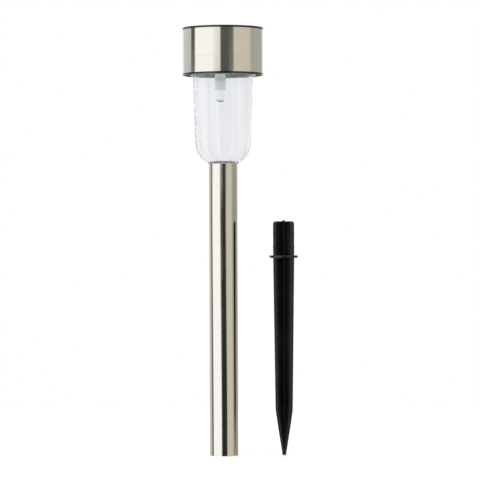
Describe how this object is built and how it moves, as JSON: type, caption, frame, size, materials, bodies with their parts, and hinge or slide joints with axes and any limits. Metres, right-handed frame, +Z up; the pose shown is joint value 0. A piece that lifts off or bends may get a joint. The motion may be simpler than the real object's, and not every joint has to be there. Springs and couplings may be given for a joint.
{
  "type": "solar garden light",
  "caption": "Solar garden light with a brushed steel cap, fluted clear lens and steel tube, and a loose black ground spike beside it.",
  "frame": {"origin": "centre of the tube's lower mouth, on the tube's axis and level with its lower edge", "axes": "+Z up along the tube to the solar panel; +X from the tube towards the loose spike; -Y towards the viewer of the front"},
  "size_m": [0.0673, 0.0472, 0.251],
  "materials": {
    "brushed_steel": "fine brushing, satin",
    "clear_lens": "clear moulded plastic with vertical flutes",
    "spike_plastic": "moulded black, slight sheen",
    "black_plastic": "moulded black, satin",
    "plated_steel": "zinc or nickel plated",
    "foam_adhesive": "double-sided foam tape",
    "panel_laminate": "glass-fibre board",
    "silicon": "dark blue solar cell",
    "tinned_copper": "tinned",
    "clear_resin": "clear epoxy, glossy",
    "board_laminate": "green solder mask",
    "chip_epoxy": "black moulded epoxy",
    "inductor_coat": "green lacquer",
    "phenolic": "brown phenolic",
    "nickel_can": "nickel-plated can",
    "battery_wrap": "shrink sleeve",
    "led_epoxy": "clear epoxy",
    "green_spacer": "moulded green",
    "holder_plastic": "milky translucent plastic",
    "wire_red": "PVC insulation",
    "wire_black": "PVC insulation"
  },
  "bodies": {
    "post": {"tube": "brushed_steel"},
    "lens_cup": {"lens": "clear_lens"},
    "head": {"steel_cap": "brushed_steel", "top_housing": "black_plastic", "bottom_cover": "black_plastic", "cover_screws": "plated_steel", "panel_adhesive": "foam_adhesive", "panel_board": "panel_laminate", "solar_cells": "silicon", "cell_ribbons": "tinned_copper", "panel_resin": "clear_resin", "circuit_board": "board_laminate", "driver_chip": "chip_epoxy", "inductor": "inductor_coat", "switch_shell": "plated_steel", "switch_base": "phenolic", "battery_cell": "nickel_can", "battery_sleeve": "battery_wrap", "battery_contact_plus": "plated_steel", "battery_contact_minus": "plated_steel", "battery_spring": "plated_steel", "led_lamp": "led_epoxy", "led_leads": "tinned_copper", "lead_spacer": "green_spacer", "led_holder": "holder_plastic", "panel_wire_red": "wire_red", "panel_wire_black": "wire_black", "battery_wire_red": "wire_red", "battery_wire_black": "wire_black"},
    "switch_slider": {"switch_knob": "black_plastic"},
    "ground_spike": {"spike": "spike_plastic"}
  },
  "joints": [
    {"name": "lens_lift", "type": "slide", "parent": "post", "child": "lens_cup", "axis": [0, 0, 1], "range_m": [0, 0.012]},
    {"name": "head_lift", "type": "slide", "parent": "lens_cup", "child": "head", "axis": [0, 0, 1], "range_m": [0, 0.03]},
    {"name": "switch_slide", "type": "slide", "parent": "head", "child": "switch_slider", "axis": [0, 1, 0], "range_m": [0, 0.002]},
    {"name": "spike_lift", "type": "slide", "parent": "post", "child": "ground_spike", "axis": [0, 0, 1], "range_m": [0, 0.12]}
  ]
}
